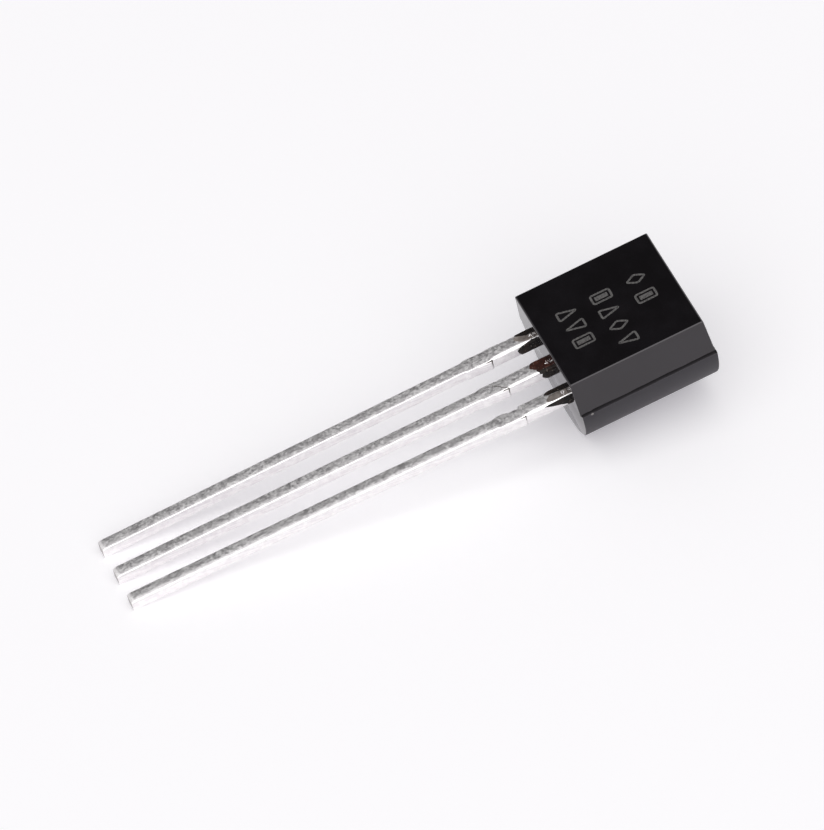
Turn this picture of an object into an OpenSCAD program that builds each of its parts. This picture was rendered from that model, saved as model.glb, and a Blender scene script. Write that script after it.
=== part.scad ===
// Three-lead transistor in a moulded case with one flat face, lying on its rounded back.
// The case is moulded in two halves that meet in the plane of the leads. It holds a stamped lead
// frame: the collector lead carries the pad with the die, and two bond wires run from the die to
// the posts of the emitter and base leads.

/* [Body] */
// Width of the flat face
flat_w = 4.12; // [3.6:0.02:4.4]
// Width of the front half where the halves meet
parting_w = 4.56; // [4.46:0.01:4.9]
// Depth from the flat face to the plane where the halves meet
front_d = 1.22; // [1.1:0.02:1.4]
// Depth from that plane to the rounded back
back_d = 2.26; // [1.9:0.02:2.4]
// Length of the body along the leads, where the halves meet
body_l = 4.48; // [4.3:0.02:5.2]
// Taper of the far end that lets the halves leave the mould, in degrees
draft = 2.4; // [0.5:0.1:5]
// Taper of the lead end, in degrees
end_draft = 0.7; // [0.2:0.1:5]
// How far the back half stands out past the front half at each side
ledge = 0.08; // [0.02:0.01:0.12]
// How far the back half is shifted along the leads by the play of the mould
half_shift = 0.03; // [0:0.01:0.08]
// Radius of the edges of the flat face
edge_r = 0.06; // [0.02:0.01:0.15]
// Radius of the bead left at the gate, on the ledge
gate_r = 0.05; // [0.02:0.01:0.08]
// Length of that bead
gate_l = 0.14; // [0.06:0.02:0.3]
// Distance of that bead from the lead end
gate_z = 0.27; // [0.1:0.01:1]

/* [Leads] */
// Distance between neighbouring leads
lead_pitch = 1.27; // [1.2:0.01:1.4]
// Length of the leads outside the body
lead_l = 14.38; // [12.5:0.02:16]
// Width of a lead
lead_w = 0.4; // [0.36:0.01:0.44]
// Thickness of the lead frame
lead_t = 0.38; // [0.32:0.01:0.44]
// How far the backs of the leads lie behind the plane where the halves meet
lead_back = 0.13; // [0.05:0.01:0.2]
// Radius of the leads' front edges, rolled by the stamping
lead_edge_r = 0.1; // [0.06:0.01:0.12]
// Width of a lead next to the body
shoulder_w = 0.48; // [0.46:0.01:0.54]
// Length of that wider stretch
shoulder_l = 2.25; // [2.1:0.05:2.6]
// Distance from the body to the cut stubs of the bar that joined the leads
stub_start = 1.44; // [1.2:0.02:1.6]
// Length of the stubs, which taper away along the lead
stub_l = 0.66; // [0.3:0.02:0.8]
// How far a stub stands out from the right side of its lead
stub_out = 0.04; // [0.02:0.01:0.08]
// How far the front of a stub lies behind the front of its lead
stub_inset = 0.035; // [0.02:0.005:0.1]
// Depth of the nick that the cut left in the left side of the collector lead
nick_d = 0.08; // [0.02:0.01:0.12]
// Length of that nick
nick_l = 0.39; // [0.1:0.01:0.5]
// Distance from the body to that nick
nick_z = 1.54; // [1.3:0.02:1.6]
// Radius of the roll at the front of each sheared tip
tip_r = 0.2; // [0.1:0.01:0.28]
// How far the emitter lead leans in, in degrees
emitter_lean = 0.35; // [0:0.05:1]
// How far the collector lead leans in, in degrees
collector_lean = 0.6; // [0:0.05:1]

/* [Lead frame inside] */
// Width of the pad that carries the die
pad_w = 2.1; // [1.9:0.02:2.2]
// Length of that pad along the leads
pad_l = 1.7; // [1.3:0.02:1.9]
// Distance from the lead end of the body to the pad
pad_z = 2.05; // [1.9:0.02:2.2]
// Length of each post's head
post_l = 0.42; // [0.34:0.02:0.6]
// How far a post's head stands out past the side of its lead
post_out = 0.12; // [0.06:0.01:0.18]
// Gap from the base's post up to the pad
post_gap = 0.35; // [0.25:0.01:0.45]
// How far the emitter's post reaches past the foot of the pad
post_rise = 0.85; // [0.6:0.05:1.2]
// Depth of the notches that lock the frame in the moulding
lock_d = 0.1; // [0.04:0.01:0.14]
// Length of those notches
lock_l = 0.3; // [0.2:0.02:0.4]
// Distance from the lead end of the body to the notches in the leads
lock_z = 0.6; // [0.5:0.02:0.7]

/* [Die and bond wires] */
// Width and length of the die
die_w = 0.5; // [0.4:0.01:0.6]
// Thickness of the die
die_t = 0.2; // [0.12:0.01:0.26]
// Thickness of the layer under the die
attach_t = 0.03; // [0.02:0.01:0.06]
// How far that layer shows around the die
attach_rim = 0.05; // [0.02:0.01:0.1]
// Thickness of a bond wire
wire_d = 0.05; // [0.04:0.01:0.07]
// Height of a bond wire's loop over the posts
loop_h = 0.45; // [0.4:0.01:0.55]

/* [Flash on the leads] */
// Thickness of the flash on the right sides of the leads
flash_t = 0.04; // [0.03:0.01:0.08]
// Thickness of the flash on the fronts of the leads
skin_t = 0.02; // [0.02:0.005:0.05]
// Length of the flash on the side of the emitter lead
emitter_flash_l = 0.6; // [0.3:0.02:1]
// Length of the flash on the side of the base lead
base_flash_l = 0.42; // [0.3:0.02:1]
// Length of the flash on the side of the collector lead
collector_flash_l = 0.8; // [0.3:0.02:1]
// Length of the flash on the front of the base lead
skin_l = 0.56; // [0.3:0.02:1]
// Length of the strips of flash along the left edges of the outer leads
strip_l = 0.66; // [0.3:0.02:1]
// Width of those strips
strip_w = 0.17; // [0.13:0.01:0.2]

/* [Hidden] */
$fn = 64;

// Stretch by which pieces that are joined or cut run past each other
lap = 0.2;

// Across is x, from the flat face to the back is y, and along the leads is z. The halves meet at
// y = 0, and the leads come out at z = 0 and run down.
back_w = parting_w + 2 * ledge;
back_r = (pow(back_w / 2, 2) + pow(back_d, 2)) / (2 * back_d);
lead_front = lead_back - lead_t;
shoulder_side = shoulder_w / 2;
pad_right = lead_pitch + shoulder_side;
pad_mid = [pad_right - pad_w / 2, pad_z + pad_l / 2];
base_post_top = pad_z - post_gap;
emitter_post_top = pad_z + post_rise;
die_back = lead_front - attach_t;
die_front = die_back - die_t;

// The body rests on the lead end of its back, and the leads on the backs of their tips
back_foot = half_shift + back_d * tan(end_draft);
tilt = atan((back_d - lead_back) / (lead_l + back_foot));
foot_h = back_d * cos(tilt) - back_foot * sin(tilt);
far_y = back_d * sin(tilt) + (half_shift + body_l - back_d * tan(draft)) * cos(tilt);
near_y = (lead_front + tip_r) * sin(tilt) + (tip_r - lead_l) * cos(tilt) - tip_r;

// Lays what is modelled with its leads down on the surface, flat face up
module lie() {
    translate([0, -(far_y + near_y) / 2, foot_h]) rotate([tilt - 90, 0, 0]) children();
}

// Half of an outline that narrows by a lean, in degrees, over a depth
module half_taper(base, lean, depth) {
    polygon([[0, 0], [base, 0], [base - depth * tan(lean), depth], [0, depth]]);
}

// The same half with a rounded corner at the top
module rounded_half_taper(base, lean, depth, r) {
    top = base - depth * tan(lean);
    cut = r * tan((90 - lean) / 2);
    polygon([
        [0, 0], [base, 0], [top + cut * sin(lean), depth - cut * cos(lean)],
        [top - cut, depth], [0, depth]
    ]);
    translate([top - cut, depth - r]) circle(r);
}

module front_half() {
    side_lean = atan((parting_w - flat_w) / 2 / front_d);
    intersection() {
        translate([0, 0, -lap]) linear_extrude(body_l + 2 * lap) mirror([0, 1]) {
            rounded_half_taper(parting_w / 2, side_lean, front_d, edge_r);
            mirror([1, 0]) rounded_half_taper(parting_w / 2, side_lean, front_d, edge_r);
        }
        translate([0, 0, body_l / 2]) rotate([180, -90, 0])
            linear_extrude(parting_w + 2 * lap, center = true) {
                rounded_half_taper(body_l / 2, draft, front_d, edge_r);
                mirror([1, 0]) rounded_half_taper(body_l / 2, end_draft, front_d, edge_r);
            }
    }
}

module back_half() {
    translate([0, 0, half_shift]) intersection() {
        translate([0, 0, -lap]) linear_extrude(body_l + 2 * lap) intersection() {
            translate([0, back_d - back_r]) circle(back_r, $fn = 180);
            translate([-back_w, 0]) square(2 * back_w);
        }
        translate([0, 0, body_l / 2]) rotate([0, -90, 0])
            linear_extrude(back_w + 2 * lap, center = true) {
                half_taper(body_l / 2, draft, back_d);
                mirror([1, 0]) half_taper(body_l / 2, end_draft, back_d);
            }
    }
}

// Film of epoxy on the right side of a lead and over the roll of its front edge. Its lengths are
// given at the front, halfway back and at the back.
module side_film(lengths) {
    translate([shoulder_side - lead_edge_r, 0, 0]) rotate([0, -90, 0]) mirror([0, 0, 1])
        linear_extrude(lead_edge_r + flash_t)
            polygon([
                [lap, lead_front - skin_t], [-lengths[0], lead_front - skin_t],
                [-lengths[1], lead_back - lead_t / 2], [-lengths[2], lead_back], [lap, lead_back]
            ]);
}

// Film of epoxy on the front of a lead, from its left edge to a place across it. Its lengths are
// given at the left edge, partway and at the far side.
module front_film(far, lengths) {
    left = -shoulder_side - skin_t;
    translate([0, lead_front + lead_edge_r, 0]) rotate([90, 0, 0])
        linear_extrude(lead_edge_r + skin_t)
            polygon([
                [left, lap], [left, -lengths[0]], [left + 0.6 * (far - left), -lengths[1]],
                [far, -lengths[2]], [far, lap]
            ]);
}

module flash() {
    strip_end = strip_w - shoulder_side;
    translate([-lead_pitch, 0, 0]) {
        side_film(emitter_flash_l * [0.8, 1, 0.85]);
        front_film(strip_end, strip_l * [0.95, 0.75, 0.5]);
    }
    side_film(base_flash_l * [1, 0.85, 0.5]);
    front_film(shoulder_side - lead_edge_r / 2, skin_l * [1, 1, 0.8]);
    translate([lead_pitch, 0, 0]) {
        side_film(collector_flash_l * [1, 0.6, 0.13]);
        front_film(strip_end, strip_l * [0.75, 1, 0.7]);
    }
}

module moulded_body() {
    color("#1c1b1e") lie() difference() {
        union() {
            front_half();
            back_half();
            translate([parting_w / 2, 0, gate_z]) cylinder(r = gate_r, h = gate_l);
            flash();
        }
        emitter_shape();
        base_shape();
        collector_shape();
        attach_shape();
        die_shape();
        emitter_wire_shape();
        base_wire_shape();
    }
}

// Section of a lead: its front edges are rolled and its back edges are sharp
module lead_section(w) {
    translate([-w / 2, lead_front + lead_edge_r]) square([w, lead_t - lead_edge_r]);
    translate([lead_edge_r - w / 2, lead_front]) square([w - 2 * lead_edge_r, lead_t]);
    for (side = [-1, 1])
        translate([side * (w / 2 - lead_edge_r), lead_front + lead_edge_r]) circle(lead_edge_r);
}

// Narrow part of a lead, from the shoulder to the sheared tip, with its front edge rolled over
module shank() {
    len = lead_l - shoulder_l;
    difference() {
        translate([0, 0, -len]) linear_extrude(len + lap) lead_section(lead_w);
        translate([0, lead_front, -len]) difference() {
            translate([-lead_w, -lap, -lap]) cube([2 * lead_w, lap + tip_r, lap + tip_r]);
            translate([0, tip_r, tip_r]) rotate([0, 90, 0])
                cylinder(r = tip_r, h = 3 * lead_w, center = true);
        }
    }
}

// Lead below the body, with a nick of a given depth in the left side of its shoulder and the cut
// stub on the right
module lead_outside(lean, nick) {
    difference() {
        translate([0, 0, -shoulder_l]) {
            linear_extrude(shoulder_l + lap) lead_section(shoulder_w);
            rotate([0, lean, 0]) shank();
        }
        translate([-shoulder_side - lap, lead_front - lap, -nick_z - nick_l])
            cube([lap + nick, lead_t + 2 * lap, nick_l]);
    }
    translate([0, lead_back, 0]) rotate([90, 0, 0]) linear_extrude(lead_t - stub_inset)
        polygon([
            [0, -stub_start], [shoulder_side + stub_out, -stub_start],
            [shoulder_side, -stub_start - stub_l], [0, -stub_start - stub_l]
        ]);
}

// Stamps an outline, drawn across and along the leads, out of the sheet of the lead frame
module stamped() {
    translate([0, lead_back, 0]) rotate([90, 0, 0]) linear_extrude(lead_t) children();
}

// Outline of a lead inside the body, up to a height, with its locking notches
module stem(top) {
    difference() {
        translate([-shoulder_side, lap]) square([shoulder_w, top - lap]);
        for (side = [-1, 1])
            translate([side * shoulder_side - lock_d, lock_z]) square([2 * lock_d, lock_l]);
    }
}

module emitter_shape() {
    translate([-lead_pitch, 0, 0]) {
        lead_outside(-emitter_lean, nick_d / 4);
        stamped() {
            stem(emitter_post_top);
            translate([-shoulder_side, emitter_post_top - post_l])
                square([shoulder_w + post_out, post_l]);
        }
    }
}

module base_shape() {
    lead_outside(0, nick_d / 2);
    stamped() {
        stem(base_post_top);
        translate([-shoulder_side - post_out, base_post_top - post_l])
            square([shoulder_w + 2 * post_out, post_l]);
    }
}

module collector_shape() {
    translate([lead_pitch, 0, 0]) {
        lead_outside(collector_lean, nick_d);
        stamped() stem(pad_z);
    }
    stamped() difference() {
        translate([pad_right - pad_w, pad_z]) square([pad_w, pad_l]);
        for (x = [pad_right - pad_w, pad_right])
            translate([x - lock_d, pad_mid[1] + lock_l]) square([2 * lock_d, lock_l]);
    }
}

module emitter_lead() {
    color("#b9b7b6") lie() emitter_shape();
}

module base_lead() {
    color("#b9b7b6") lie() base_shape();
}

module collector_lead() {
    color("#b9b7b6") lie() collector_shape();
}

module attach_shape() {
    w = die_w + 2 * attach_rim;
    translate([pad_mid[0] - w / 2, die_back, pad_mid[1] - w / 2]) cube([w, attach_t, w]);
}

module die_shape() {
    translate([pad_mid[0] - die_w / 2, die_front, pad_mid[1] - die_w / 2])
        cube([die_w, die_t, die_w]);
}

module silicon_die() {
    color("#5c6370") lie() die_shape();
}

module die_attach() {
    color("#a3a6a8") lie() attach_shape();
}

// Loop of wire from the front of the die, at the middle of the pad, to a place on the front of a post
module wire_loop(post) {
    // the circle starts behind the middle of the die, so the wire meets the die's front near the middle
    start = pad_mid - (post - pad_mid) / norm(post - pad_mid) * die_w / 5;
    reach = post - start;
    span = norm(reach);
    r = (pow(span / 2, 2) + pow(loop_h, 2)) / (2 * loop_h);
    mid = (post + start) / 2;
    difference() {
        intersection() {
            translate([mid[0], lead_front - loop_h + r, mid[1]])
                rotate([0, -atan2(reach[1], reach[0]), 0])
                    rotate_extrude($fn = 128) translate([r, 0]) circle(d = wire_d, $fn = 8);
            translate([mid[0] - span, lead_front - 2 * loop_h, mid[1] - span])
                cube([2 * span, 2 * loop_h, 2 * span]);
        }
        translate([pad_mid[0] - die_w / 2, die_front, pad_mid[1] - die_w / 2])
            cube([die_w, lead_front - die_front + lap, die_w]);
    }
}

module emitter_wire_shape() {
    wire_loop([post_out / 2 - lead_pitch, emitter_post_top - post_l / 2]);
}

module base_wire_shape() {
    wire_loop([0, base_post_top - post_l / 2]);
}

module emitter_wire() {
    color("#d9a441") lie() emitter_wire_shape();
}

module base_wire() {
    color("#d9a441") lie() base_wire_shape();
}

moulded_body();
emitter_lead();
base_lead();
collector_lead();
silicon_die();
die_attach();
emitter_wire();
base_wire();
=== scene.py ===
import math

import bmesh
import bpy
from mathutils import Euler, Matrix, Vector, noise


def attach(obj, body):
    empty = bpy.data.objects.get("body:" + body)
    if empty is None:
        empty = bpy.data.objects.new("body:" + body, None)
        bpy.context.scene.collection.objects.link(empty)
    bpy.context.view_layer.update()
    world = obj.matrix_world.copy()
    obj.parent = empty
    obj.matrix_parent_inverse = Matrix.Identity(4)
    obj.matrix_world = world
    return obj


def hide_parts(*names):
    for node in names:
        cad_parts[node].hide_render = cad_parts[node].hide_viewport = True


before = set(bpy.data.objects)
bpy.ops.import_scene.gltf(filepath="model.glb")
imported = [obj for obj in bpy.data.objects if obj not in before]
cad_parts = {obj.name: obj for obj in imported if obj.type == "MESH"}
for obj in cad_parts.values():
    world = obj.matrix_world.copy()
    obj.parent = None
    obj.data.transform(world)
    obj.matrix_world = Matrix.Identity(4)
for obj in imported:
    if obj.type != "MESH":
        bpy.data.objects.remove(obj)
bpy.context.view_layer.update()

# Everything below is drawn in millimetres in the case's own axes, then laid down and turned to metres:
# x runs across the leads, y from the flat face to the back, z along the leads, body upwards.
# The two halves of the moulding meet at y = 0 and the leads come out at z = 0.
mm = 0.001


def hexToLinear(code):
    # sRGB hex to the linear colour that the shaders take
    channels = [int(code[i:i + 2], 16) / 255 for i in (1, 3, 5)]
    return [c / 12.92 if c <= 0.04045 else ((c + 0.055) / 1.055) ** 2.4 for c in channels] + [1.0]


def socketInUse(sockets, name=None):
    # the first socket that the node's mode uses, of that name if there is one
    return next(s for s in sockets if s.enabled and name in (None, s.name))


def addNode(tree, kind, links=None, stops=(), **settings):
    # a node with its settings; links gives an input, by name or number, a node, a socket or a plain value,
    # and stops gives a colour ramp its (place, hex) pairs
    node = tree.nodes.new(kind)
    for name, value in settings.items():
        setattr(node, name, value)
    for k, (place, code) in enumerate(stops):
        node.color_ramp.elements[k].position = place
        node.color_ramp.elements[k].color = hexToLinear(code)
    for name, source in (links or {}).items():
        target = node.inputs[name] if isinstance(name, int) else socketInUse(node.inputs, name)
        if isinstance(source, bpy.types.Node):
            source = socketInUse(source.outputs)
        if isinstance(source, bpy.types.NodeSocket):
            tree.links.new(source, target)
        else:
            target.default_value = source
    return node


def clearedTree(owner):
    # the emptied node tree of a material or a world
    owner.use_nodes = True
    owner.node_tree.nodes.clear()
    return owner.node_tree


def newMaterial(name):
    # a material's empty tree, and the object's coordinates turned to millimetres
    tree = clearedTree(bpy.data.materials.new(name))
    place = addNode(tree, "ShaderNodeTexCoord").outputs["Object"]
    return tree, addNode(tree, "ShaderNodeVectorMath", {0: place, "Scale": 1 / mm}, operation="SCALE")


# Silica-filled epoxy, pressed into a polished mould: near black, glassy on the flats, with a faint
# orange peel that breaks the reflections and a dull bloom in patches. The back is rougher and duller, and its
# greyer base colour is painted reflection of the pale floor.
epoxy = {"finishes": {"glassy_black_epoxy": {"base": "#0d0b0d", "bloom": "#151316", "rough": (0.07, 0.13),
                                             "shine": 0.5},
                      "worn_black_epoxy": {"base": "#28262b", "bloom": "#302e33", "rough": (0.52, 0.6),
                                           "shine": 0.3}},
         "bloomMm": 1.1, "bloomColour": (0.4, 0.72), "bloomRough": (0.35, 0.65), "peelMm": 0.12,
         "peelDepthMm": 0.0004, "ior": 1.62, "tint": "#fff9ff"}


def mouldedEpoxy(name):
    tree, place = newMaterial(name)
    look = epoxy["finishes"][name]
    bloom = addNode(tree, "ShaderNodeTexNoise", {"Vector": place, "Scale": 1 / epoxy["bloomMm"],
                                                 "Detail": 5.0, "Roughness": 0.6})
    stops = zip(epoxy["bloomColour"], (look["base"], look["bloom"]))
    colour = addNode(tree, "ShaderNodeValToRGB", {"Fac": bloom}, stops)
    low, high = epoxy["bloomRough"]
    rough = addNode(tree, "ShaderNodeMapRange", {"Value": bloom, "From Min": low, "From Max": high,
                                                 "To Min": look["rough"][0], "To Max": look["rough"][1]})
    peel = addNode(tree, "ShaderNodeTexNoise", {"Vector": place, "Scale": 1 / epoxy["peelMm"],
                                                "Detail": 3.0, "Roughness": 0.55})
    bump = addNode(tree, "ShaderNodeBump", {"Height": peel, "Distance": epoxy["peelDepthMm"] * mm,
                                            "Strength": 1.0})
    shader = addNode(tree, "ShaderNodeBsdfPrincipled", {
        "Base Color": colour, "Roughness": rough, "Normal": bump, "IOR": epoxy["ior"],
        "Specular Tint": hexToLinear(epoxy["tint"]), "Specular IOR Level": look["shine"]})
    addNode(tree, "ShaderNodeOutputMaterial", {"Surface": shader})


# The same epoxy squeezed out as a film, and chipped, so that pale dust sits on it. Where it is thin the
# brown of the resin shows through, then the metal under it. The gate's bead is coloured pale grey as a
# painted highlight.
resin = {"films": {"squeezed_out_epoxy": ("#0f0d0c", "#2b211d"), "thin_epoxy_skin": ("#22110e", "#4f2a22"),
                   "sheer_epoxy_skin": ("#756d69", "#9c938e"), "broken_epoxy": ("#6f6b6a", "#bcb8b6")},
         "chip": "#8a7f76", "patchMm": 0.25, "patchColour": (0.38, 0.65), "chipMm": 0.07,
         "chipFrom": (0.66, 0.72), "bumpMm": 0.007, "rough": 0.4, "shine": 0.2}


def epoxyFilm(name):
    tree, place = newMaterial(name)
    patch = addNode(tree, "ShaderNodeTexNoise", {"Vector": place, "Scale": 1 / resin["patchMm"],
                                                 "Detail": 3.0, "Roughness": 0.55})
    stops = zip(resin["patchColour"], resin["films"][name])
    body = addNode(tree, "ShaderNodeValToRGB", {"Fac": patch}, stops)
    chips = addNode(tree, "ShaderNodeTexNoise", {"Vector": place, "Scale": 1 / resin["chipMm"],
                                                 "Detail": 2.0, "Roughness": 0.55})
    low, high = resin["chipFrom"]
    share = addNode(tree, "ShaderNodeMapRange", {"Value": chips, "From Min": low, "From Max": high})
    colour = addNode(tree, "ShaderNodeMix", {"Factor": share, "A": body, "B": hexToLinear(resin["chip"])},
                     data_type="RGBA")
    bump = addNode(tree, "ShaderNodeBump", {"Height": chips, "Distance": resin["bumpMm"] * mm,
                                            "Strength": 1.0})
    shader = addNode(tree, "ShaderNodeBsdfPrincipled", {
        "Base Color": colour, "Normal": bump, "Roughness": resin["rough"],
        "Specular IOR Level": resin["shine"]})
    addNode(tree, "ShaderNodeOutputMaterial", {"Surface": shader})


# Matt tin plated over a stamped copper strip: pale and metallic, frosted by its crystals, smeared along
# the lead where it was drawn through the tools. The crystals are a few thousandths of a millimetre wide
# and are drawn as clumps of a tenth, so that they show.
tin = {"name": "matt_tin_plate", "colours": ("#efebed", "#fdfbfb"), "mottle": (0.42, 0.58),
       "patchMm": 0.2, "streakMm": (0.045, 0.7), "crystalMm": 0.1, "crystalDepthMm": 0.0011,
       "speckMm": 0.075, "speckShare": 0.6, "speckRough": (0.38, 0.62), "rough": (0.28, 0.46)}


def tinPlate():
    tree, place = newMaterial(tin["name"])
    across, along = tin["streakMm"]
    drawn = addNode(tree, "ShaderNodeVectorMath", {0: place, 1: (1.0, across / along, 1.0)},
                    operation="MULTIPLY")
    streaks = addNode(tree, "ShaderNodeTexNoise", {"Vector": drawn, "Scale": 1 / across,
                                                   "Detail": 2.0, "Roughness": 0.55})
    patch = addNode(tree, "ShaderNodeTexNoise", {"Vector": place, "Scale": 1 / tin["patchMm"],
                                                 "Detail": 4.0, "Roughness": 0.65})
    both = addNode(tree, "ShaderNodeMath", {0: patch, 1: streaks}, operation="ADD")
    half = addNode(tree, "ShaderNodeMath", {0: both, 1: 0.5}, operation="MULTIPLY")
    colour = addNode(tree, "ShaderNodeValToRGB", {"Fac": half}, zip(tin["mottle"], tin["colours"]))
    speck = addNode(tree, "ShaderNodeTexNoise", {"Vector": place, "Scale": 1 / tin["speckMm"],
                                                 "Detail": 2.0, "Roughness": 0.55})
    mixed = addNode(tree, "ShaderNodeMix", {"Factor": tin["speckShare"], "A": half, "B": speck})
    low, high = tin["speckRough"]
    rough = addNode(tree, "ShaderNodeMapRange", {"Value": mixed, "From Min": low, "From Max": high,
                                                 "To Min": tin["rough"][0], "To Max": tin["rough"][1]})
    crystals = addNode(tree, "ShaderNodeTexNoise", {"Vector": place, "Scale": 1 / tin["crystalMm"],
                                                    "Detail": 3.0, "Roughness": 0.6})
    bump = addNode(tree, "ShaderNodeBump", {"Height": crystals, "Distance": tin["crystalDepthMm"] * mm,
                                            "Strength": 1.0})
    shader = addNode(tree, "ShaderNodeBsdfPrincipled", {
        "Base Color": colour, "Roughness": rough, "Normal": bump, "Metallic": 1.0})
    addNode(tree, "ShaderNodeOutputMaterial", {"Surface": shader})


# Finishes that are one colour, broken only by their grain
plain = {
    # lead-frame metal torn through its plating, dull; its dark grey is painted shade for the creases at the
    # burrs
    "torn_lead_frame_metal": {"colours": ("#3f3b38", "#6f6a66"), "stops": (0.4, 0.6), "grainMm": 0.04,
                              "metallic": 1.0, "rough": 0.5},
    # the same metal cut clean at the leads' ends
    "sheared_lead_end": {"colours": ("#a5a1a1", "#c4c0c0"), "stops": (0.4, 0.6), "grainMm": 0.04,
                         "metallic": 1.0, "rough": 0.5},
    # epoxy burnt by a laser: the resin is baked to a dusty grey, and its grain is one pit of the beam
    "laser_etched_epoxy": {"colours": ("#353334", "#5f5d5c"), "stops": (0.35, 0.6), "grainMm": 0.05,
                           "metallic": 0.0, "rough": 0.7},
    # polished crystal: a dark blue-grey mirror
    "polished_silicon": {"colours": ("#4c5463", "#5d6675"), "stops": (0.4, 0.6), "grainMm": 0.08,
                         "metallic": 0.6, "rough": 0.12},
    # solder that set under the chip: grey and dull
    "soft_solder": {"colours": ("#8f9192", "#a9abac"), "stops": (0.4, 0.6), "grainMm": 0.05, "metallic": 1.0,
                    "rough": 0.45},
    # gold drawn to a wire: yellow and bright
    "drawn_gold_wire": {"colours": ("#d8a23c", "#e6b657"), "stops": (0.4, 0.6), "grainMm": 0.03,
                        "metallic": 1.0, "rough": 0.2},
}


def plainFinish(name):
    tree, place = newMaterial(name)
    look = plain[name]
    grain = addNode(tree, "ShaderNodeTexNoise", {"Vector": place, "Scale": 1 / look["grainMm"],
                                                 "Detail": 3.0, "Roughness": 0.55})
    colour = addNode(tree, "ShaderNodeValToRGB", {"Fac": grain}, zip(look["stops"], look["colours"]))
    shader = addNode(tree, "ShaderNodeBsdfPrincipled", {
        "Base Color": colour, "Metallic": look["metallic"], "Roughness": look["rough"]})
    addNode(tree, "ShaderNodeOutputMaterial", {"Surface": shader})


# The pieces sealed in the moulding keep their CAD meshes
sealed = {"silicon_die": "polished_silicon", "die_attach": "soft_solder", "emitter_wire": "drawn_gold_wire",
          "base_wire": "drawn_gold_wire"}


def finishSealedPieces():
    for node, finish in sealed.items():
        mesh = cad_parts[node].data
        mesh.materials.clear()
        mesh.materials.append(bpy.data.materials[finish])


# Sizes of the moulding, as in the CAD
case = {"flatWidth": 4.12, "partingWidth": 4.56, "frontDepth": 1.22, "backDepth": 2.26, "length": 4.48,
        "draft": math.radians(2.4), "endDraft": math.radians(0.7), "ledge": 0.08, "shift": 0.03,
        "edgeRadius": 0.06}
# Sizes of the leads, as in the CAD. The stamping rolled their right-hand front edges, most near the body.
lead = {"pitch": 1.27, "length": 14.38, "width": 0.4, "thickness": 0.38, "back": 0.13, "leftEdge": 0.014,
        "rightEdge": 0.027, "rootEdge": {"emitter": 0.115, "base": 0.08, "collector": 0.095},
        "shoulderWidth": 0.48, "shoulderLength": 2.25, "stubStart": 1.44, "stubLength": 0.66, "stubOut": 0.04,
        "stubInset": 0.035, "tipRadius": 0.2, "leans": {"emitter": -0.35, "base": 0.0, "collector": 0.6}}
leadFront = lead["back"] - lead["thickness"]
leadNames = ("emitter", "base", "collector")
slope = math.tan(case["draft"])
endSlope = math.tan(case["endDraft"])


def placeOf(name):
    # a lead's number, counted from the middle one
    return leadNames.index(name) - 1


def layDown():
    # the case rests on the lead end of its back and on the tips of its leads
    foot = case["shift"] + case["backDepth"] * endSlope
    tilt = math.atan((case["backDepth"] - lead["back"]) / (lead["length"] + foot))
    up = case["backDepth"] * math.cos(tilt) - foot * math.sin(tilt)
    farZ = case["shift"] + case["length"] - case["backDepth"] * slope
    farY = case["backDepth"] * math.sin(tilt) + farZ * math.cos(tilt)
    tipR = lead["tipRadius"]
    nearY = (leadFront + tipR) * math.sin(tilt) + (tipR - lead["length"]) * math.cos(tilt) - tipR
    turn = Matrix.Rotation(tilt - math.pi / 2, 4, "X")
    return Matrix.Diagonal((mm, mm, mm, 1)) @ Matrix.Translation((0, -(farY + nearY) / 2, up)) @ turn


laid = layDown()
shading = {"sharpFrom": math.radians(35), "faceWeight": 60}


def meshPiece(name, lumps, finishes, node=None):
    # one smooth piece from closed lumps of (points, faces, finish), where the finish is one name or a list
    # with one for each face; finishes names the piece's materials in order
    points, faces, numbers = [], [], []
    for lumpPoints, lumpFaces, finish in lumps:
        faces += [[i + len(points) for i in face] for face in lumpFaces]
        perFace = finish if isinstance(finish, list) else [finish] * len(lumpFaces)
        numbers += [finishes.index(each) for each in perFace]
        points += lumpPoints
    mesh = bpy.data.meshes.new(name)
    mesh.from_pydata([laid @ Vector(p) for p in points], [], faces)
    mesh.polygons.foreach_set("material_index", numbers)
    mesh.polygons.foreach_set("use_smooth", [True] * len(faces))
    for finish in finishes:
        mesh.materials.append(bpy.data.materials[finish])
    shell = bmesh.new()
    shell.from_mesh(mesh)
    bmesh.ops.recalc_face_normals(shell, faces=shell.faces)
    shell.to_mesh(mesh)
    shell.free()
    mesh.validate()
    mesh.set_sharp_from_angle(angle=shading["sharpFrom"])
    piece = bpy.data.objects.new(name, mesh)
    bpy.context.scene.collection.objects.link(piece)
    normals = piece.modifiers.new("normals", "WEIGHTED_NORMAL")
    normals.weight = shading["faceWeight"]
    normals.keep_sharp = True
    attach(piece, "root")
    if node:
        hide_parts(node)


def loft(rings, finish):
    # closed lump through rings of equal count, all listed the same way round
    count = len(rings[0])
    points = [p for ring in rings for p in ring]
    faces = []
    for k in range(len(rings) - 1):
        for i in range(count):
            j = (i + 1) % count
            faces.append((k * count + i, k * count + j, (k + 1) * count + j, (k + 1) * count + i))
    faces.append(tuple(reversed(range(count))))
    faces.append(tuple((len(rings) - 1) * count + i for i in range(count)))
    return points, faces, finish


def wobble(place, seed, sizeMm, depthMm):
    # smooth uneven value along a length, between -depthMm and depthMm
    return depthMm * noise.noise(Vector((place / sizeMm, seed * 7.3, seed * 1.9)))


def smoothStep(value, start, end):
    t = min(1.0, max(0.0, (value - start) / (end - start)))
    return t * t * (3 - 2 * t)


def between(places, at):
    # value at a place on a broken line of (place, value) points
    for (a, low), (b, high) in zip(places, places[1:]):
        if at <= b:
            return low + (high - low) * min(1.0, max(0.0, (at - a) / (b - a)))
    return places[-1][1]


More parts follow.
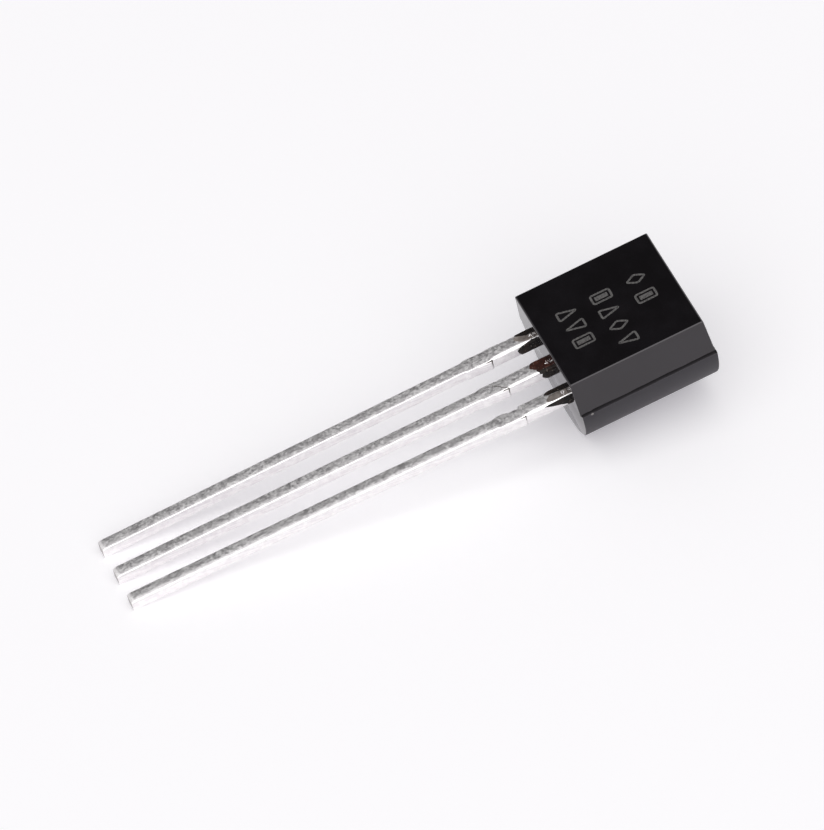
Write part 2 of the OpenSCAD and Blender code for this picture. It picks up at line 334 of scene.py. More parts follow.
# How finely the body is sliced, how far the edges at the ledge wander inwards, how far from the ledge the
# waves and the nick by the gate die out, and that nick's depth, place and half length
bodyLook = {"sideSteps": 60, "cornerSteps": 3, "roundSteps": 8, "draftSteps": 5, "backSteps": 48,
            "cornerRadius": 0.03, "lip": 0.007, "lipAngles": (0, 30, 60), "frontWave": 0.012,
            "backWave": 0.012, "waveMm": 0.4, "waveLevel": (0.5, 0.8), "frontSeed": 4, "backSeed": 8,
            "waveReach": 0.5, "nick": (0.035, 0.34, 0.09), "nickReach": 0.2, "backStop": math.radians(89)}


def caseSlice(depth, half, low, high, wave, seed, nick=0.0):
    # outline of the body at one depth, anticlockwise from the right corner of the lead end; nick is how
    # much of the notch by the gate it shows
    radius = min(bodyLook["cornerRadius"], half * 0.8)
    steps, corner = bodyLook["sideSteps"], bodyLook["cornerSteps"]
    ring = []
    for side, z0, z1 in ((1, low, high), (-1, high, low)):
        up = 1 if z1 > z0 else -1
        for k in range(corner + 1):
            a = math.radians(90 * k / corner)
            ring.append((side * (half - radius + radius * math.sin(a)), z0 + up * radius * (1 - math.cos(a))))
        for k in range(1, steps):
            ring.append((side * half, z0 + up * radius + (z1 - z0 - 2 * up * radius) * k / steps))
        for k in range(corner + 1):
            a = math.radians(90 * k / corner)
            ring.append((side * (half - radius + radius * math.cos(a)), z1 - up * radius * (1 - math.sin(a))))
    notch, notchZ, notchWide = bodyLook["nick"]
    level, swing = bodyLook["waveLevel"]
    points = []
    for x, z in ring:
        cut = wave * max(0.0, level + wobble(z, seed + (x > 0), bodyLook["waveMm"], swing))
        if x > 0:
            cut += nick * notch * (1 - smoothStep(abs(z - notchZ), 0.0, notchWide))
        points.append((x - math.copysign(cut, x), depth, z))
    return points


def reachAt(base, lean, depth, radius, d):
    # reach at depth d of an outline that starts at base, leans in by an angle and has a rounded corner
    if d <= depth - radius * (1 - math.sin(lean)):
        return base - d * math.tan(lean)
    cut = radius * math.tan((math.pi / 2 - lean) / 2)
    return base - depth * math.tan(lean) - cut + math.sqrt(max(0.0, radius ** 2 - (d - depth + radius) ** 2))


def frontRings():
    # from the flat face to where the halves meet
    front, radius, long = case["frontDepth"], case["edgeRadius"], case["length"]
    sideLean = math.atan((case["partingWidth"] - case["flatWidth"]) / 2 / front)
    turns = [math.pi / 2 + (case["endDraft"] - math.pi / 2) * k / bodyLook["roundSteps"]
             for k in range(bodyLook["roundSteps"] + 1)]
    depths = [front - radius * (1 - math.sin(a)) for a in turns]
    depths += [depths[-1] * (1 - k / bodyLook["draftSteps"]) for k in range(1, bodyLook["draftSteps"] + 1)]
    rings = []
    for d in depths:
        halfX = reachAt(case["partingWidth"] / 2, sideLean, front, radius, d)
        low = long / 2 - reachAt(long / 2, case["endDraft"], front, radius, d)
        high = long / 2 + reachAt(long / 2, case["draft"], front, radius, d)
        wave = bodyLook["frontWave"] * (1 - d / front) ** 3
        rings.append(caseSlice(-d, halfX, low, high, wave, bodyLook["frontSeed"]))
    return rings


def backRings():
    # from the ledge, whose edge is barely rounded, round the back
    long, shift, lip, seed = case["length"], case["shift"], bodyLook["lip"], bodyLook["backSeed"]
    backHalf = case["partingWidth"] / 2 + case["ledge"]
    rings = []
    for angle in bodyLook["lipAngles"]:
        cut = lip * (1 - math.sin(math.radians(angle)))
        y = lip * (1 - math.cos(math.radians(angle)))
        low, high = shift + cut, shift + long - cut
        rings.append(caseSlice(y, backHalf - cut, low, high, bodyLook["backWave"], seed, 1.0))
    bend = (backHalf ** 2 + case["backDepth"] ** 2) / (2 * case["backDepth"])
    centre = case["backDepth"] - bend
    start = math.asin((lip - centre) / bend)
    for k in range(bodyLook["backSteps"] + 1):
        angle = start + (bodyLook["backStop"] - start) * k / bodyLook["backSteps"]
        y = centre + bend * math.sin(angle)
        wave = bodyLook["backWave"] * max(0.0, 1 - y / bodyLook["waveReach"]) ** 2
        low, high = shift + y * endSlope, shift + long - y * slope
        nick = max(0.0, 1 - y / bodyLook["nickReach"])
        rings.append(caseSlice(y, bend * math.cos(angle), low, high, wave, seed, nick))
    return rings


def caseLump():
    # the whole moulding: glassy, but duller on the curved back, whose greyer colour is painted reflection
    rings = frontRings() + backRings()
    points, faces, glassy = loft(rings, "glassy_black_epoxy")
    finishes = [glassy] * len(faces)
    count = len(rings[0])
    backFrom = next(k for k, ring in enumerate(rings) if ring[0][1] > bodyLook["lip"] / 2) * count
    ends = (count // 2 - 1, count - 1)
    for k in range(backFrom, len(faces) - 2):
        if k % count not in ends:
            finishes[k] = "worn_black_epoxy"
    return points, faces, finishes


# Bead of epoxy on the ledge, where the gate was broken off, coloured pale grey as a painted highlight
gate = {"radius": 0.034, "length": 0.11, "from": 0.29, "back": 0.045, "rings": 8, "sides": 12, "least": 0.002}


def gateLump():
    x0 = case["partingWidth"] / 2 + case["ledge"] - gate["radius"]
    angles = [-2 * math.pi * i / gate["sides"] for i in range(gate["sides"])]
    rings = []
    for k in range(gate["rings"] + 1):
        share = k / gate["rings"]
        r = max(gate["least"], gate["radius"] * math.sin(math.pi * share) ** 0.5)
        z = gate["from"] + gate["length"] * share
        rings.append([(x0 + r * math.cos(a), gate["back"] + r * math.sin(a), z) for a in angles])
    return loft(rings, "broken_epoxy")


# Films of epoxy on the leads near the body. Each outline gives the film's length at places round the
# lead's section, counted from the middle of the front, to the right.
films = [
    {"lead": "emitter", "finish": "squeezed_out_epoxy",
     "outline": [(0.19, 0.1), (0.23, 0.25), (0.28, 0.48), (0.39, 0.6), (0.565, 0.55), (0.62, 0.5)]},
    {"lead": "emitter", "finish": "squeezed_out_epoxy", "thin": 0.6,
     "outline": [(-0.3, 0.4), (-0.21, 0.48), (-0.16, 0.42), (-0.1, 0.3), (-0.04, 0.16)]},
    {"lead": "emitter", "finish": "sheer_epoxy_skin", "thin": 0.3,
     "outline": [(-0.16, 0.5), (-0.1, 0.56), (0.0, 0.5), (0.1, 0.36), (0.16, 0.2)]},
    {"lead": "base", "finish": "thin_epoxy_skin",
     "outline": [(-0.28, 0.5), (-0.18, 0.555), (-0.07, 0.586), (0.0, 0.52), (0.09, 0.435), (0.2, 0.43)]},
    {"lead": "base", "finish": "squeezed_out_epoxy",
     "outline": [(0.16, 0.4), (0.3, 0.4), (0.316, 0.343), (0.48, 0.351), (0.57, 0.282), (0.62, 0.2)]},
    {"lead": "collector", "finish": "squeezed_out_epoxy", "thin": 0.8,
     "outline": [(-0.28, 0.45), (-0.214, 0.6), (-0.165, 0.68), (-0.12, 0.58), (-0.09, 0.5), (-0.075, 0.18),
                 (-0.036, 0.02)]},
    {"lead": "collector", "finish": "sheer_epoxy_skin", "thin": 0.3,
     "outline": [(-0.07, 0.5), (0.0, 0.6), (0.09, 0.66), (0.16, 0.62), (0.19, 0.5)]},
    {"lead": "collector", "finish": "squeezed_out_epoxy",
     "outline": [(0.235, 0.2), (0.25, 0.6), (0.27, 0.8), (0.29, 0.79), (0.365, 0.626), (0.45, 0.35),
                 (0.54, 0.13), (0.62, 0.1)]},
]
# Their thickness on the front and the side, how deep they sink into the metal and the body, how ragged
# their ends and how bumpy their faces are, and how they thin out at the rims
filmLook = {"acrossMm": 0.02, "steps": 18, "front": 0.018, "side": 0.036, "sideFrom": (0.2, 0.3),
            "deep": 0.012, "inBody": 0.1, "shortest": 0.02, "ragged": 0.03, "raggedMm": 0.06,
            "bumpy": 0.006, "bumpyMm": 0.1, "firstSeed": 11, "rim": (0.2, 0.5), "endShare": 0.2,
            "endLeast": 0.02, "least": 0.003}


def skinAt(s, name):
    # point and outward direction on the section of a lead's shoulder, s counted from the front's middle
    half, side = lead["shoulderWidth"] / 2, math.copysign(1, s)
    r = lead["rootEdge"][name] if s > 0 else lead["leftEdge"]
    s = abs(s)
    if s <= half - r:
        return side * s, leadFront, 0.0, -1.0
    if s >= half + r:
        return side * half, leadFront + s - half, side, 0.0
    a = math.pi / 2 * (s - half + r) / (2 * r)
    x, y = half - r + r * math.sin(a), leadFront + r * (1 - math.cos(a))
    return side * x, y, side * math.sin(a), -math.cos(a)


def filmLump(film, seed):
    # slab that hugs the lead: an outer sheet of uneven thickness and an inner one sunk in the metal
    look, outline = filmLook, film["outline"]
    first, last = outline[0][0], outline[-1][0]
    columns, steps = max(4, round((last - first) / look["acrossMm"])), look["steps"]
    x0 = placeOf(film["lead"]) * lead["pitch"]
    points = []
    for sunk in (False, True):
        for j in range(columns + 1):
            s = first + (last - first) * j / columns
            x, y, nx, ny = skinAt(s, film["lead"])
            ragged = wobble(s, seed, look["raggedMm"], look["ragged"])
            long = max(look["shortest"], between(outline, s) + ragged)
            rim = min(1.0, look["rim"][0] + look["rim"][1] * min(j, columns - j))
            thick = look["front"] + (look["side"] - look["front"]) * smoothStep(s, *look["sideFrom"])
            thick *= film.get("thin", 1.0)
            for i in range(steps + 1):
                share = i / steps
                z = look["inBody"] - (long + look["inBody"]) * share
                past = max(0.0, share - 1 + look["endShare"]) / look["endShare"]
                end = math.sqrt(max(look["endLeast"], 1 - past ** 2))
                out = (thick * end + wobble(z + s * 3, seed + 5, look["bumpyMm"], look["bumpy"])) * rim
                out = -look["deep"] if sunk else max(look["least"], out)
                points.append((x0 + x + nx * out, y + ny * out, z))
    size, row = (columns + 1) * (steps + 1), steps + 1
    faces = []
    for j in range(columns):
        for i in range(steps):
            a, b, c, d = j * row + i, (j + 1) * row + i, (j + 1) * row + i + 1, j * row + i + 1
            faces += [(a, b, c, d), (a + size, d + size, c + size, b + size)]
    rim = [j * row for j in range(columns)] + [columns * row + i for i in range(steps)]
    rim += [j * row + steps for j in range(columns, 0, -1)] + [i for i in range(steps, 0, -1)]
    for k, a in enumerate(rim):
        b = rim[(k + 1) % len(rim)]
        faces.append((a, a + size, b + size, b))
    return points, faces, film["finish"]


# Crumbs of bare tin at the roots of the leads, in front of the films: each lead's middle place for them,
# how far they spread, and their outline as (height, width) shares
crumbs = {"sizes": (0.01, 0.022), "count": 8, "spread": 0.09, "raised": 0.012, "sides": 6,
          "places": [("emitter", 0.08, -0.06), ("base", -0.02, -0.06), ("collector", 0.06, -0.1)],
          "profile": [(0.0, 1.0), (0.35, 1.1), (0.7, 0.8), (1.0, 0.25)]}


def crumbLumps():
    lumps, sides = [], crumbs["sides"]
    smallest, largest = crumbs["sizes"]
    for name, x0, z0 in crumbs["places"]:
        where = placeOf(name)
        for k in range(crumbs["count"]):
            dice = [0.5 + wobble(k * 1.7 + i * 5.1, where + 2.5 + i, 1.0, 0.9) for i in range(4)]
            r = smallest + (largest - smallest) * dice[0]
            x = where * lead["pitch"] + x0 + (dice[1] - 0.5) * 2 * crumbs["spread"]
            z = z0 + (dice[2] - 0.5) * 2 * crumbs["spread"]
            flatness = 0.8 + 0.4 * dice[3]
            angles = [math.radians(360 / sides * i + 40 * k) for i in range(sides)]
            rings = []
            for height, width in crumbs["profile"]:
                y, wide = leadFront - crumbs["raised"] - height * r, r * width
                rings.append([(x + wide * math.cos(a) * flatness, y, z + wide * math.sin(a)) for a in angles])
            lumps.append(loft(rings, tin["name"]))
    return lumps


bodyFinishes = ["glassy_black_epoxy", "squeezed_out_epoxy", "thin_epoxy_skin", tin["name"],
                "worn_black_epoxy", "sheer_epoxy_skin", "broken_epoxy"]


def buildBody():
    lumps = [caseLump(), gateLump()]
    lumps += [filmLump(film, filmLook["firstSeed"] + k) for k, film in enumerate(films)]
    lumps += crumbLumps()
    meshPiece("moulded_case", lumps, bodyFinishes, "moulded_body")
    print("body built:", len(lumps), "lumps")


# How the stamping and trimming left the leads: the slices along them, how uneven their edges are, where
# the sections change on the way to the tip, and for each lead the line of its left edge as (distance from
# the body, how far out) and the ridges across its front as (path, half width, finish), the dark one painted
# shade for a crease
leadLook = {"step": 0.05, "root": 0.2, "stubSteps": 6, "tipSteps": 10, "rollSteps": 8, "flankSteps": 3,
            "flankGap": 0.01, "firstSeed": 20, "seedStep": 10,
            "rough": (0.012, 0.005), "roughMm": 0.3, "fineRough": 0.003, "fineMm": 0.07, "rightShare": 0.5,
            "narrowing": (-0.03, 0.07), "calmFrom": (2, 3), "crownFrom": (2.2, 2.8), "edgeFrom": (1.2, 1.6),
            "backRadius": 0.022, "crown": 5, "lowerCrowns": {"emitter": 7, "base": 8, "collector": 11},
            "burrs": {"emitter": 0.027, "base": 0.028, "collector": 0.02},
            "tipRoll": (0.19, 0.045), "tipLean": 0.024, "stubCorner": 0.012,
            "ledgeEnds": (1.425, 1.455, 1.86, 2.0),
            "leftEdges": {"emitter": [(0.96, 0.0), (1.0, -0.02), (1.05, 0.015), (1.4, 0.02), (1.5, 0.0)],
                          "base": [(1.58, 0.0), (1.63, -0.04), (1.7, -0.01), (1.8, 0.0)],
                          "collector": [(1.48, 0.0), (1.54, -0.09), (1.62, -0.065), (1.76, -0.075),
                                        (1.88, -0.06), (1.94, -0.01), (2.05, 0.0)]},
            "scars": {"emitter": [],
                      "base": [([(-0.12, -1.83), (0.02, -1.66), (0.12, -1.58), (0.2, -1.44)], 0.012,
                                "torn_lead_frame_metal")],
                      "collector": [([(-0.21, -1.43), (0.0, -1.42), (0.17, -1.41)], 0.014, tin["name"])]}}


def sideProfile(half, front, ledge, out, r, crown):
    # one side of a lead's section from near the middle of its crowned front to its back; ledge turns the
    # roll into a cut stub
    inset, back, sharp = lead["stubInset"], lead["back"], leadLook["backRadius"]
    corner = min(leadLook["stubCorner"], out * 0.8 + 0.001)
    crownHalf = half - r + r * math.sin(crown)
    drop = math.tan(crown) * crownHalf / 2
    plainSide = [(crownHalf * share, front + drop * share ** 2) for share in (0.25, 0.5, 0.75)]
    cutSide = list(plainSide)
    base = front + drop - r * (1 - math.cos(crown))
    stop = math.acos(max(0.0, 1 - (front + inset - base) / r))
    for k in range(leadLook["rollSteps"] + 1):
        for profile, sweep in ((plainSide, math.pi / 2), (cutSide, stop)):
            a = crown + (sweep - crown) * k / leadLook["rollSteps"]
            profile.append((half - r + r * math.sin(a), base + r * (1 - math.cos(a))))
    for k in range(leadLook["flankSteps"] + 1):
        a = math.pi / 2 * k / leadLook["flankSteps"]
        plainSide.append((half, base + r + leadLook["flankGap"] * (k + 1)))
        cutSide.append((half + out - corner * (1 - math.sin(a)), front + inset + corner * (1 - math.cos(a))))
    for a in (0, math.pi / 4, math.pi / 2):
        x, y = half - sharp * (1 - math.cos(a)), back - sharp * (1 - math.sin(a))
        plainSide.append((x, y))
        cutSide.append((x + out, y))
    return [(p[0] + (q[0] - p[0]) * ledge, p[1] + (q[1] - p[1]) * ledge) for p, q in zip(plainSide, cutSide)]


def leadHeights():
    # where a lead is sliced, from inside the body to its tip, closer at the stub's start and the tip
    root, step, tip = leadLook["root"], leadLook["step"], -lead["length"]
    rollLong = leadLook["tipRoll"][0]
    rollStart = tip + rollLong
    stubOn, stubFull = leadLook["ledgeEnds"][:2]
    stubSteps, tipSteps = leadLook["stubSteps"], leadLook["tipSteps"]
    heights = [root - k * step for k in range(int((root - tip) / step))]
    heights += [-stubOn - (stubFull - stubOn) * k / stubSteps for k in range(stubSteps + 1)]
    heights = [z for z in heights if z > rollStart]
    heights += [rollStart - rollLong * k / tipSteps for k in range(tipSteps + 1)]
    return sorted(heights, reverse=True)


def leadRings(name, seed):
    lean = math.tan(math.radians(lead["leans"][name]))
    rollLong, rollDeep = leadLook["tipRoll"]
    rollStart, rollRadius = rollLong - lead["length"], (rollLong ** 2 + rollDeep ** 2) / (2 * rollDeep)
    stubOn, stubFull, ledgeOff, ledgeGone = leadLook["ledgeEnds"]
    crown, lastCrown = math.radians(leadLook["crown"]), math.radians(leadLook["lowerCrowns"][name])
    shoulder, rootEdge, (rough, calm) = lead["shoulderLength"], lead["rootEdge"][name], leadLook["rough"]
    rings = []
    for z in leadHeights():
        down = -z
        narrow = smoothStep(down, *(shoulder + past for past in leadLook["narrowing"]))
        half = (lead["shoulderWidth"] * (1 - narrow) + lead["width"] * narrow) / 2
        coarse = rough + (calm - rough) * smoothStep(down, *leadLook["calmFrom"])
        uneven = [wobble(z, seed + k, leadLook["roughMm"], coarse)
                  + wobble(z, seed + k + 5, leadLook["fineMm"], leadLook["fineRough"]) for k in range(2)]
        ledge = smoothStep(down, stubOn, stubFull) * (1 - smoothStep(down, ledgeOff, ledgeGone))
        out = lead["stubOut"] * min(1.0, max(0.0, 1 - (down - lead["stubStart"]) / lead["stubLength"]))
        front = leadFront
        if z < rollStart:
            front += rollRadius - math.sqrt(max(0.0, rollRadius ** 2 - (rollStart - z) ** 2))
        atTip = leadLook["tipLean"] / lead["thickness"] * max(0.0, (rollStart - z) / rollLong) ** 2
        rightCrown = crown + (lastCrown - crown) * smoothStep(down, *leadLook["crownFrom"])
        rightEdge = rootEdge + (lead["rightEdge"] - rootEdge) * smoothStep(down, *leadLook["edgeFrom"])
        rightHalf = half + uneven[0] * leadLook["rightShare"]
        right = sideProfile(rightHalf, front, ledge, out, rightEdge, rightCrown)
        leftHalf = half + uneven[1] + between(leadLook["leftEdges"][name], down)
        left = sideProfile(leftHalf, front, 0.0, 0.0, lead["leftEdge"], crown)
        x0 = placeOf(name) * lead["pitch"] + min(0.0, z + shoulder) * lean
        ring = [(0.0, front)] + right + [(-x, y) for x, y in reversed(left)]
        rings.append([(x0 + x, y, z + atTip * (lead["back"] - y)) for x, y in ring])
    return rings


# Outlines of the lead frame inside the body, as in the CAD: across, then along the leads
inside = {"padWidth": 2.1, "padLength": 1.7, "padFrom": 2.05, "postLength": 0.42, "postOut": 0.12,
          "postGap": 0.35, "postRise": 0.85}


def plate(x0, x1, z0, z1):
    # flat piece of the lead frame's sheet
    y0, y1 = leadFront, lead["back"]
    return loft([[(x0, y0, z), (x1, y0, z), (x1, y1, z), (x0, y1, z)] for z in (z1, z0)], tin["name"])


def insidePlates(name):
    half, root, out = lead["shoulderWidth"] / 2, leadLook["root"], inside["postOut"]
    padFrom = inside["padFrom"]
    if name == "emitter":
        x, top = -lead["pitch"], padFrom + inside["postRise"]
        neck = top - inside["postLength"]
        return [plate(x - half, x + half, root, neck), plate(x - half, x + half + out, neck, top)]
    if name == "base":
        top = padFrom - inside["postGap"]
        neck = top - inside["postLength"]
        return [plate(-half, half, root, neck), plate(-half - out, half + out, neck, top)]
    right = lead["pitch"] + half
    return [plate(right - lead["shoulderWidth"], right, root, padFrom),
            plate(right - inside["padWidth"], right, padFrom, padFrom + inside["padLength"])]


def ropeLump(path, finish):
    # thin six-sided lump along (x, y, z, radius) places
    rings = []
    for k, (x, y, z, r) in enumerate(path):
        here = Vector((x, y, z))
        along = Vector(path[min(k + 1, len(path) - 1)][:3]) - Vector(path[max(k - 1, 0)][:3])
        askew = (0.3, 0.2, 0.9) if abs(along.y) > abs(along.z) else (0.3, 0.9, 0.2)
        side = along.cross(Vector(askew)).normalized()
        other = along.cross(side).normalized()
        rings.append([tuple(here + (side * math.cos(a) + other * math.sin(a)) * r)
                      for a in (math.radians(60 * i) for i in range(6))])
    return loft(rings, finish)


# Torn edges of the cut stub, from where it starts: one across the lead's side as (out, back, down, share
# of the burr's radius), one along the cut towards the tip
# the burrs take the dark burr metal, whose colour is painted shade for the creases beside the cut stub
burrAcross = [(-0.02, -0.03, 0.03, 0.5), (0.005, -0.005, 0.012, 1), (0.012, 0.03, 0, 1),
              (0.014, 0.14, -0.005, 0.9), (0.012, 0.24, -0.02, 0.7), (0.008, 0.29, -0.03, 0.3)]
burrAlong = [(0.002 - 0.004 * k, 0, 0.01 - 0.05 * k, 0.95 - 0.085 * k) for k in range(10)]


def burrLumps(name):
    x, r = placeOf(name) * lead["pitch"] + lead["shoulderWidth"] / 2, leadLook["burrs"][name]
    front, start = leadFront + lead["stubInset"], -lead["stubStart"]
    lumps = []
    for path in (burrAcross, burrAlong):
        lumps.append(ropeLump([(x + dx, front + dy, start + dz, r * share) for dx, dy, dz, share in path],
                              "torn_lead_frame_metal"))
    for path, wide, finish in leadLook["scars"][name]:
        middle = x - lead["shoulderWidth"] / 2
        lumps.append(ropeLump([(middle + px, leadFront + 0.004, pz, wide) for px, pz in path], finish))
    return lumps


leadFinishes = [tin["name"], "torn_lead_frame_metal", "sheared_lead_end"]


def buildLeads():
    for k, name in enumerate(leadNames):
        seed = leadLook["firstSeed"] + k * leadLook["seedStep"]
        points, faces, tinned = loft(leadRings(name, seed), tin["name"])
        finishes = [tinned] * (len(faces) - 1) + ["sheared_lead_end"]
        lumps = [(points, faces, finishes)] + insidePlates(name) + burrLumps(name)
        meshPiece(name + "_pin", lumps, leadFinishes, name + "_lead")
    print("leads built")


# Plain shapes etched on the flat face: each row's height up the face, the shapes' middles and kinds
marks = {"stroke": 0.068, "tall": 0.68, "wide": 0.42, "corner": 0.07, "cornerSteps": 4, "sideSteps": 7,
         "thick": 0.002, "rough": 0.005, "dotInset": 1.9,
         "rows": [(3.40, (-0.60, 0.17), ("diamond", "box")),
                  (2.23, (-0.56, 0.09, 0.74, 1.39), ("box", "triangle", "diamond", "wedge")),
                  (1.09, (-0.54, 0.05, 0.69), ("triangle", "wedge", "box"))]}
markOutlines = {"box": [(-1, -1), (1, -1), (1, 1), (-1, 1)], "diamond": [(0, -1), (1, 0), (0, 1), (-1, 0)],
                "triangle": [(-1, -1), (1, -1), (0, 1)], "wedge": [(0, -1), (1, 1), (-1, 1)]}


def roundedPath(corners):
    # points along a closed outline whose corners are rounded
    path = []
    for k, corner in enumerate(corners):
        following = corners[(k + 1) % len(corners)]
        ends = []
        for other in (corners[k - 1], following):
            ends.append(corner + (other - corner).normalized() * marks["corner"])
        for i in range(marks["cornerSteps"] + 1):
            t = i / marks["cornerSteps"]
            path.append(ends[0] * (1 - t) ** 2 + corner * 2 * t * (1 - t) + ends[1] * t ** 2)
        stop = following + (corner - following).normalized() * marks["corner"]
        path += [ends[1].lerp(stop, i / marks["sideSteps"]) for i in range(1, marks["sideSteps"])]
    return path


def strokeLump(cx, cz, outline):
    # closed band that follows an outline on the flat face
    halfWide, halfTall = (marks["wide"] - marks["stroke"]) / 2, (marks["tall"] - marks["stroke"]) / 2
    path = roundedPath([Vector((cx + x * halfWide, cz + z * halfTall)) for x, z in outline])
    count = len(path)
    loops = [[], []]
    for k, p in enumerate(path):
        along = (path[(k + 1) % count] - path[k - 1]).normalized()
        for loop, side in zip(loops, (1, -1)):
            reach = marks["stroke"] / 2 + wobble(k * 0.4 + side * 9, cx * 3 + cz, 1.0, marks["rough"])
            loop.append(p + Vector((along.y, -along.x)) * reach * side)
    front, back = -case["frontDepth"] - marks["thick"], -case["frontDepth"] + marks["thick"]
    points = [(v.x, y, v.y) for y in (front, back) for loop in loops for v in loop]
    faces = []
    for i in range(count):
        j = (i + 1) % count
        for a, b, c, d in ((0, 1, 1, 0), (2, 3, 3, 2), (0, 2, 2, 0), (1, 3, 3, 1)):
            faces.append((a * count + i, b * count + i, c * count + j, d * count + j))
    return points, faces, "laser_etched_epoxy"


def dotLump(cx, cz):
    # filled middle of a box
    inset = marks["stroke"] * marks["dotInset"]
    halfWide, halfTall = marks["wide"] / 2 - inset, marks["tall"] / 2 - inset
    rings = []
    for y in (-marks["thick"], marks["thick"]):
        rings.append([(cx + x * halfWide, -case["frontDepth"] + y, cz + z * halfTall)
                      for x, z in markOutlines["box"]])
    return loft(rings, "laser_etched_epoxy")


def buildMarks():
    lumps = []
    for z, middles, shapes in marks["rows"]:
        for x, shape in zip(middles, shapes):
            lumps.append(strokeLump(x, z, markOutlines[shape]))
            if shape == "box":
                lumps.append(dotLump(x, z))
    meshPiece("etched_shapes", lumps, ["laser_etched_epoxy"])
    print("marks built:", len(lumps))


# The camera looks at the part from above its collector side, from a quarter of a metre away
view = {"azimuth": 72.19, "elevation": 47.01, "roll": -7.11, "distance": 249.2, "aim": (-0.13, 0.341, 2.213),
        "focalPixels": 8397.0, "imageWidth": 824, "imageHeight": 830, "sensor": 36.0}


def makeCamera():
    data = bpy.data.cameras.new("camera")
    data.sensor_width = view["sensor"]
    data.lens = view["focalPixels"] * view["sensor"] / max(view["imageWidth"], view["imageHeight"])
    data.clip_start, data.clip_end = 0.01, 10.0
    camera = bpy.data.objects.new("camera", data)
    azimuth, elevation = math.radians(view["azimuth"]), math.radians(view["elevation"])
    across, up = math.cos(elevation), math.sin(elevation)
    back = Vector((math.sin(azimuth) * across, -math.cos(azimuth) * across, up))
    turn = back.to_track_quat("Z", "Y") @ Euler((0, 0, math.radians(view["roll"]))).to_quaternion()
    camera.rotation_mode = "QUATERNION"
    camera.rotation_quaternion = turn
    camera.location = (Vector(view["aim"]) + back * view["distance"]) * mm
    bpy.context.scene.collection.objects.link(camera)
    bpy.context.scene.camera = camera


# A white card under the part, a broad lamp above it on the right, and white walls with three darker gaps:
# one that the flat face and the leads' fronts mirror, one low on the right and one low past the leads'
# tips. Each gap is a direction and the two angles between which it fades.
studio = {"floorSize": 3.0, "cardColour": "#f2f2f1", "glowColour": "#f8f2ff", "glow": 0.24,
          "walls": 1.06, "ambient": 0.32, "backdrop": 0.97,
          "gaps": [{"towards": (-0.71, 0.0, 0.7), "angles": (13, 29), "dark": 0.95},
                   {"towards": (0.903, 0.037, 0.426), "angles": (12, 24), "dark": 0.7},
                   {"towards": (-0.649, -0.66, 0.37), "angles": (8, 30), "dark": 0.4}],
          "key": {"from": (0.55, -0.15, 0.82), "distance": 0.6, "size": 1.3, "power": 4.85}}


def makeFloor():
    # matt white card: it glows where the camera or a reflection sees it, so that it reads as white and
    # still takes the shadow
    material = bpy.data.materials.new("matt_white_card")
    tree = clearedTree(material)
    card = addNode(tree, "ShaderNodeBsdfDiffuse", {"Color": hexToLinear(studio["cardColour"])})
    paths = addNode(tree, "ShaderNodeLightPath").outputs
    seen = addNode(tree, "ShaderNodeMath", {0: paths["Is Camera Ray"], 1: paths["Is Glossy Ray"]},
                   operation="ADD")
    seen = addNode(tree, "ShaderNodeMath", {0: seen, 1: paths["Is Transmission Ray"]}, operation="ADD",
                   use_clamp=True)
    glow = addNode(tree, "ShaderNodeMath", {0: seen, 1: studio["glow"]}, operation="MULTIPLY")
    glowColour = hexToLinear(studio["glowColour"])
    light = addNode(tree, "ShaderNodeEmission", {"Color": glowColour, "Strength": glow})
    both = addNode(tree, "ShaderNodeAddShader", {0: card, 1: light})
    addNode(tree, "ShaderNodeOutputMaterial", {"Surface": both})
    half = studio["floorSize"] / 2
    corners = [(-half, -half, 0), (half, -half, 0), (half, half, 0), (-half, half, 0)]
    mesh = bpy.data.meshes.new("floor")
    mesh.from_pydata(corners, [], [(0, 1, 2, 3)])
    mesh.materials.append(material)
    floor = bpy.data.objects.new("floor", mesh)
    bpy.context.scene.collection.objects.link(floor)


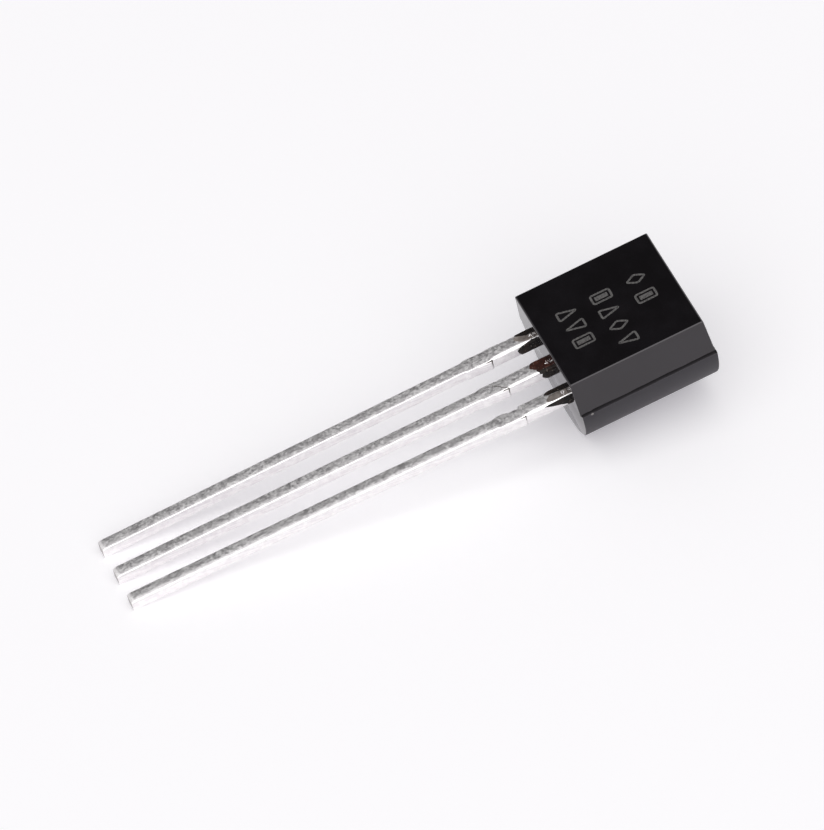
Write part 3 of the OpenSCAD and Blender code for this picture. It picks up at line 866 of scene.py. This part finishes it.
def makeWorld():
    # white walls for reflections, with their dark gaps, and a softer light for everything matt
    world = bpy.data.worlds.new("studio")
    tree = clearedTree(world)
    direction = addNode(tree, "ShaderNodeTexCoord").outputs["Generated"]
    level = studio["walls"]
    for gap in studio["gaps"]:
        towards = Vector(gap["towards"]).normalized()
        near = addNode(tree, "ShaderNodeVectorMath", {0: direction, 1: towards}, operation="DOT_PRODUCT")
        inner, outer = (math.cos(math.radians(a)) for a in gap["angles"])
        left = addNode(tree, "ShaderNodeMapRange", {"Value": near, "From Min": outer, "From Max": inner,
                                                    "To Min": 1.0, "To Max": 1.0 - gap["dark"]},
                       interpolation_type="SMOOTHSTEP")
        level = addNode(tree, "ShaderNodeMath", {0: left, 1: level}, operation="MULTIPLY")
    paths = addNode(tree, "ShaderNodeLightPath").outputs
    mirrored = addNode(tree, "ShaderNodeMix", {"Factor": paths["Is Glossy Ray"], "A": studio["ambient"],
                                               "B": level})
    strength = addNode(tree, "ShaderNodeMix", {"Factor": paths["Is Camera Ray"], "A": mirrored,
                                               "B": studio["backdrop"]})
    sky = addNode(tree, "ShaderNodeBackground", {"Color": (1, 1, 1, 1), "Strength": strength})
    addNode(tree, "ShaderNodeOutputWorld", {"Surface": sky})
    bpy.context.scene.world = world


def makeLamp():
    lamp = studio["key"]
    data = bpy.data.lights.new("key", "AREA")
    data.shape = "DISK"
    data.size = lamp["size"]
    data.energy = lamp["power"]
    light = bpy.data.objects.new("key", data)
    towards = Vector(lamp["from"]).normalized()
    light.location = towards * lamp["distance"]
    light.rotation_euler = towards.to_track_quat("Z", "Y").to_euler()
    bpy.context.scene.collection.objects.link(light)


bpy.context.scene.view_settings.view_transform = "Standard"
makeCamera()
makeFloor()
makeWorld()
makeLamp()
print("studio ready")
for finish in epoxy["finishes"]:
    mouldedEpoxy(finish)
for finish in resin["films"]:
    epoxyFilm(finish)
tinPlate()
for finish in plain:
    plainFinish(finish)
print("finishes ready")
buildBody()
buildLeads()
buildMarks()
finishSealedPieces()
print("pieces dressed")
